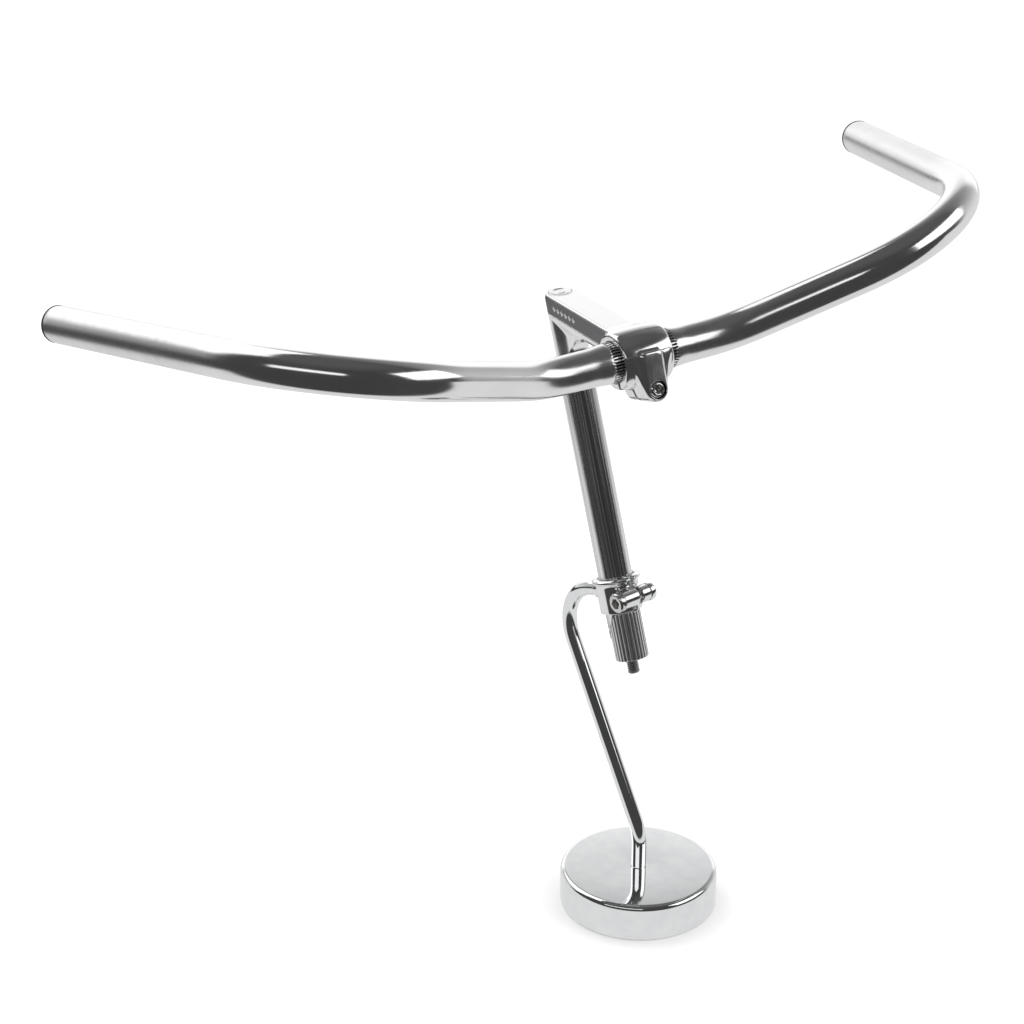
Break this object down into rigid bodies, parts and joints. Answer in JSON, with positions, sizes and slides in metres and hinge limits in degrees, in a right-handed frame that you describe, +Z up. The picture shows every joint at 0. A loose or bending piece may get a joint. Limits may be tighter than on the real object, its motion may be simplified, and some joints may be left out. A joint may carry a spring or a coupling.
{
  "type": "upright bicycle handlebar on a display stand",
  "caption": "Swept-back city handlebar clamped in a forged quill stem with a fluted wedge, held upright by a chromed collar, bent rod and round weighted base.",
  "frame": {"origin": "centre of the stand's underside, on the surface it stands on", "axes": "+Z up, +X the way the stem points (forward on a bicycle), +Y the rider's left; the quill leans 17.4 degrees back"},
  "size_m": [0.2606, 0.6184, 0.4811],
  "materials": {
    "polished_aluminium": "polished",
    "forged_aluminium": "polished",
    "machined_aluminium": "machined",
    "zinc_steel": "zinc plated",
    "stainless_steel": "bright",
    "stand_chrome": "mirror",
    "cast_weight": "raw",
    "rubber_pad": "matte",
    "black_plastic": "satin",
    "silver_plastic": "satin metallised",
    "clear_liner": "matte"
  },
  "bodies": {
    "stand": {"base_cover": "stand_chrome", "base_weight": "cast_weight", "base_pad": "rubber_pad", "base_screw": "zinc_steel", "base_screw_washer": "zinc_steel", "stand_rod": "stand_chrome", "stand_collar": "stand_chrome"},
    "liner": {"collar_liner": "clear_liner"},
    "stem": {"stem_body": "forged_aluminium", "expander_washer": "zinc_steel", "clamp_bolt_washer": "stainless_steel"},
    "handlebar": {"handlebar_tube": "polished_aluminium"},
    "left_plug": {"end_plug_left": "black_plastic"},
    "right_plug": {"end_plug_right": "black_plastic"},
    "pinch_bolt": {"clamp_bolt": "stainless_steel"},
    "pinch_nut": {"clamp_nut": "stainless_steel"},
    "long_bolt": {"expander_bolt": "zinc_steel"},
    "wedge": {"expander_wedge": "machined_aluminium"},
    "top_cap": {"bolt_cap": "silver_plastic"},
    "stand_bolt": {"collar_bolt": "stand_chrome"},
    "stand_nut": {"collar_nut": "stand_chrome"}
  },
  "joints": [
    {"name": "stem_turn", "type": "hinge", "parent": "stand", "child": "liner", "pos_m": [-0.02382, -0.00595, 0.22072], "axis": [-0.2901, -0.0724, 0.9542], "continuous": true},
    {"name": "stem_height", "type": "slide", "parent": "liner", "child": "stem", "axis": [-0.2901, -0.0724, 0.9542], "range_m": [-0.1, 0]},
    {"name": "bar_tilt", "type": "hinge", "parent": "stem", "child": "handlebar", "pos_m": [0.01347, -0.01754, 0.39885], "axis": [-0.0211, 0.9974, 0.0693], "range_deg": [-40, 40]},
    {"name": "pinch_bolt_turn", "type": "hinge", "parent": "stem", "child": "pinch_bolt", "pos_m": [0.03081, -0.01607, 0.38307], "axis": [0.9568, 0, 0.2909], "range_deg": [0, 720.6]},
    {"name": "pinch_nut_travel", "type": "slide", "parent": "stem", "child": "pinch_nut", "axis": [-0.9568, 0, -0.2909], "range_m": [0, 0.002]},
    {"name": "long_bolt_turn", "type": "hinge", "parent": "stem", "child": "long_bolt", "pos_m": [-0.07024, -0.01754, 0.3734], "axis": [-0.2901, -0.0724, 0.9542], "range_deg": [0, 1441]},
    {"name": "wedge_travel", "type": "slide", "parent": "stem", "child": "wedge", "axis": [0.2901, 0.0724, -0.9542], "range_m": [0, 0.005]},
    {"name": "top_cap_pull", "type": "slide", "parent": "stem", "child": "top_cap", "axis": [-0.2901, -0.0724, 0.9542], "range_m": [0, 0.012]},
    {"name": "left_plug_pull", "type": "slide", "parent": "handlebar", "child": "left_plug", "axis": [-0.963, 0.2468, -0.1083], "range_m": [0, 0.022]},
    {"name": "right_plug_pull", "type": "slide", "parent": "handlebar", "child": "right_plug", "axis": [-0.9521, -0.2697, -0.1442], "range_m": [0, 0.022]},
    {"name": "stand_bolt_turn", "type": "hinge", "parent": "stand", "child": "stand_bolt", "pos_m": [-0.00752, -0.00188, 0.22462], "axis": [0.2422, -0.9702, 0], "range_deg": [0, 720.6]},
    {"name": "stand_nut_travel", "type": "slide", "parent": "stand", "child": "stand_nut", "axis": [-0.2422, 0.9702, 0], "range_m": [0, 0.002]}
  ],
  "couplings": [
    {"joint": "pinch_bolt_turn", "follows": "pinch_nut_travel", "rad_per_m": 6283.2},
    {"joint": "long_bolt_turn", "follows": "wedge_travel", "rad_per_m": 5026.5},
    {"joint": "stand_bolt_turn", "follows": "stand_nut_travel", "rad_per_m": 6283.2}
  ]
}
